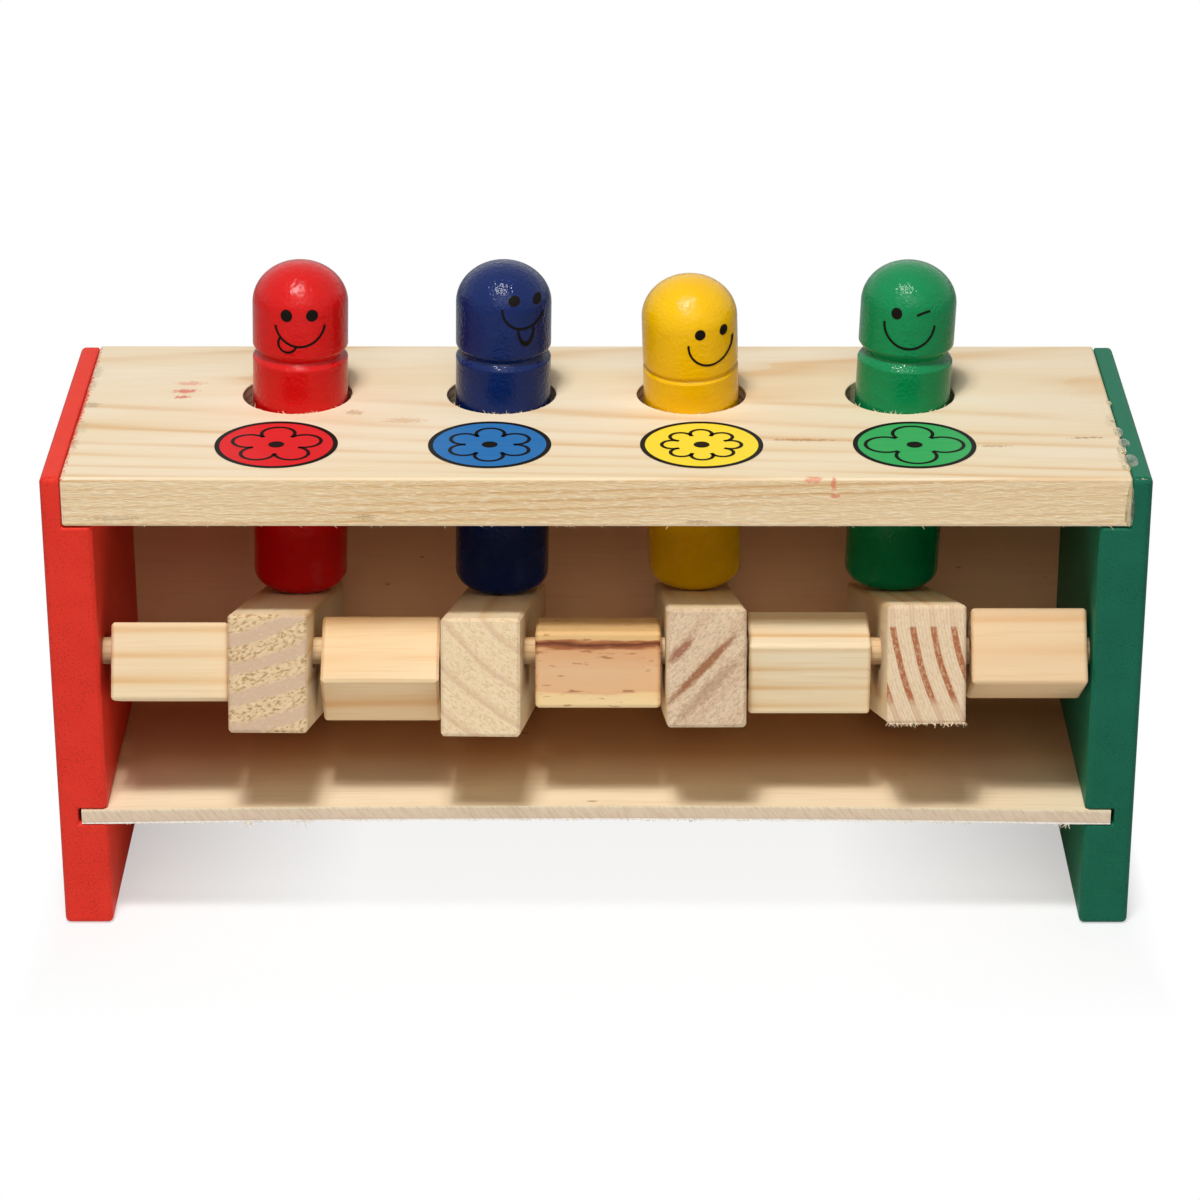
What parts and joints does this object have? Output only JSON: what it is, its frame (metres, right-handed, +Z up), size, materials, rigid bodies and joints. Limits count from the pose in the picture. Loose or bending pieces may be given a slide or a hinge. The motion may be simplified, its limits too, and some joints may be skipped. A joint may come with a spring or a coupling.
{
  "type": "peg pounding bench",
  "caption": "Wooden toy bench: loose domed pegs stand in the holes of its top board on see-saw blocks that hang on a dowel between two painted end panels.",
  "frame": {"origin": "on the table, under the middle of the whole bench, with the blocks' front ends counted in", "axes": "+X along the bench to the right as seen from the front, +Y to the rear, +Z up"},
  "size_m": [0.22, 0.0811, 0.1294],
  "materials": {
    "red_panel_paint": "satin paint over MDF",
    "green_panel_paint": "satin paint over MDF",
    "pine_board": "sawn and sanded, bare",
    "plywood": "bare, sanded faces",
    "dowel_beech": "turned, bare",
    "pine_blocks": "sawn, bare",
    "red_peg_paint": "gloss paint",
    "blue_peg_paint": "gloss paint",
    "yellow_peg_paint": "gloss paint",
    "green_peg_paint": "gloss paint"
  },
  "bodies": {
    "bench": {"left_end_panel": "red_panel_paint", "right_end_panel": "green_panel_paint", "top_board": "pine_board", "shelf": "plywood", "back_panel": "plywood", "pivot_dowel": "dowel_beech"},
    "red_rocker": {"rocker_red": "pine_blocks"},
    "blue_rocker": {"rocker_blue": "pine_blocks"},
    "yellow_rocker": {"rocker_yellow": "pine_blocks"},
    "green_rocker": {"rocker_green": "pine_blocks"},
    "red_peg": {"peg_red": "red_peg_paint"},
    "blue_peg": {"peg_blue": "blue_peg_paint"},
    "yellow_peg": {"peg_yellow": "yellow_peg_paint"},
    "green_peg": {"peg_green": "green_peg_paint"},
    "spacer_1_block": {"spacer_1": "pine_blocks"},
    "spacer_2_block": {"spacer_2": "pine_blocks"},
    "spacer_3_block": {"spacer_3": "pine_blocks"},
    "spacer_4_block": {"spacer_4": "pine_blocks"},
    "spacer_5_block": {"spacer_5": "pine_blocks"}
  },
  "joints": [
    {"name": "red_rocker_swing", "type": "hinge", "parent": "bench", "child": "red_rocker", "pos_m": [-0.06532, -0.02364, 0.05765], "axis": [1, 0, 0], "range_deg": [0, 42]},
    {"name": "blue_rocker_swing", "type": "hinge", "parent": "bench", "child": "blue_rocker", "pos_m": [-0.02246, -0.02364, 0.05765], "axis": [1, 0, 0], "range_deg": [0, 42]},
    {"name": "yellow_rocker_swing", "type": "hinge", "parent": "bench", "child": "yellow_rocker", "pos_m": [0.02189, -0.02364, 0.05765], "axis": [1, 0, 0], "range_deg": [0, 42]},
    {"name": "green_rocker_swing", "type": "hinge", "parent": "bench", "child": "green_rocker", "pos_m": [0.06554, -0.02364, 0.05765], "axis": [1, 0, 0], "range_deg": [0, 42]},
    {"name": "red_peg_rise", "type": "slide", "parent": "bench", "child": "red_peg", "axis": [0.0288, -0.0072, 0.9996], "range_m": [0, 0.0282]},
    {"name": "blue_peg_rise", "type": "slide", "parent": "bench", "child": "blue_peg", "axis": [0.0159, -0.013, 0.9998], "range_m": [0, 0.0285]},
    {"name": "yellow_peg_rise", "type": "slide", "parent": "bench", "child": "yellow_peg", "axis": [-0.0315, -0.1089, 0.9936], "range_m": [0, 0.0283]},
    {"name": "green_peg_rise", "type": "slide", "parent": "bench", "child": "green_peg", "axis": [0.0332, 0.0115, 0.9994], "range_m": [0, 0.0273]},
    {"name": "spacer_1_turn", "type": "hinge", "parent": "bench", "child": "spacer_1_block", "pos_m": [-0.08606, -0.02364, 0.05765], "axis": [1, 0, 0], "continuous": true},
    {"name": "spacer_2_turn", "type": "hinge", "parent": "bench", "child": "spacer_2_block", "pos_m": [-0.04359, -0.02364, 0.05765], "axis": [1, 0, 0], "continuous": true},
    {"name": "spacer_3_turn", "type": "hinge", "parent": "bench", "child": "spacer_3_block", "pos_m": [0.00039, -0.02364, 0.05765], "axis": [1, 0, 0], "continuous": true},
    {"name": "spacer_4_turn", "type": "hinge", "parent": "bench", "child": "spacer_4_block", "pos_m": [0.04312, -0.02364, 0.05765], "axis": [1, 0, 0], "continuous": true},
    {"name": "spacer_5_turn", "type": "hinge", "parent": "bench", "child": "spacer_5_block", "pos_m": [0.08737, -0.02364, 0.05765], "axis": [1, 0, 0], "continuous": true}
  ],
  "couplings": [
    {"joint": "red_peg_rise", "follows": "red_rocker_swing", "m_per_rad": 0.0384},
    {"joint": "blue_peg_rise", "follows": "blue_rocker_swing", "m_per_rad": 0.0388},
    {"joint": "yellow_peg_rise", "follows": "yellow_rocker_swing", "m_per_rad": 0.0385},
    {"joint": "green_peg_rise", "follows": "green_rocker_swing", "m_per_rad": 0.0372}
  ]
}
